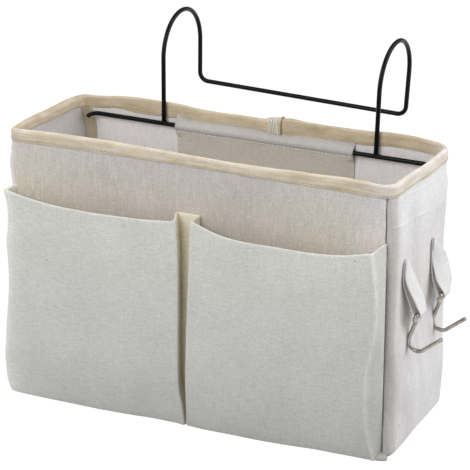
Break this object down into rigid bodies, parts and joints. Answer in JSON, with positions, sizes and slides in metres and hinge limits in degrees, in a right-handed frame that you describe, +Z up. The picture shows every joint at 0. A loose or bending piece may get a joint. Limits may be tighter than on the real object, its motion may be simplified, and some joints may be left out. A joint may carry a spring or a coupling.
{
  "type": "bedside caddy",
  "caption": "Linen hanging organiser with board-stiffened walls, pleated front pockets, a tilting wire hanger for a bed rail and side hooks on cloth loops",
  "frame": {"origin": "on the underside of the base cloth, below the middle of the bag", "axes": "+X to the bag's right seen from the front, +Y to the back where the bed rail is, +Z up"},
  "size_m": [0.3826, 0.2156, 0.311],
  "materials": {
    "linen": "matte woven",
    "lining": "matte woven",
    "tape": "matte twill",
    "card": "matte",
    "black_wire": "satin powder coat",
    "nickel": "nickel plated"
  },
  "bodies": {
    "bag": {"front_panel": "linen", "right_panel": "linen", "back_panel": "linen", "left_panel": "linen", "base_panel": "linen", "pocket_panel": "linen", "front_lining": "lining", "right_lining": "lining", "back_lining": "lining", "left_lining": "lining", "base_lining": "lining", "hanger_sleeve": "lining", "rim_binding": "tape", "corner_tape_back_right": "tape", "corner_tape_back_left": "tape", "corner_tape_front_left": "tape", "corner_tape_front_right": "tape", "front_board": "card", "right_board": "card", "back_board": "card", "left_board": "card", "base_board": "card"},
    "hanger": {"hanger_bar": "black_wire", "hanger_hooks": "black_wire"},
    "front_loop": {"front_loop": "linen"},
    "front_hook": {"front_hook": "nickel"},
    "rear_loop": {"rear_loop": "linen"},
    "rear_hook": {"rear_hook": "nickel"}
  },
  "joints": [
    {"name": "hanger_tilt", "type": "hinge", "parent": "bag", "child": "hanger", "pos_m": [0.0095, 0.0583, 0.215], "axis": [1, 0, 0], "range_deg": [0, 85]},
    {"name": "front_loop_lift", "type": "hinge", "parent": "bag", "child": "front_loop", "pos_m": [0.17515, -0.027, 0.166], "axis": [0, -1, 0], "range_deg": [0, 75]},
    {"name": "front_hook_swing", "type": "hinge", "parent": "front_loop", "child": "front_hook", "pos_m": [0.186, -0.027, 0.118], "axis": [0, -1, 0], "range_deg": [0, 90]},
    {"name": "rear_loop_lift", "type": "hinge", "parent": "bag", "child": "rear_loop", "pos_m": [0.17515, 0.028, 0.1635], "axis": [0, -1, 0], "range_deg": [0, 75]},
    {"name": "rear_hook_swing", "type": "hinge", "parent": "rear_loop", "child": "rear_hook", "pos_m": [0.186, 0.028, 0.1155], "axis": [0, -1, 0], "range_deg": [0, 90]}
  ]
}
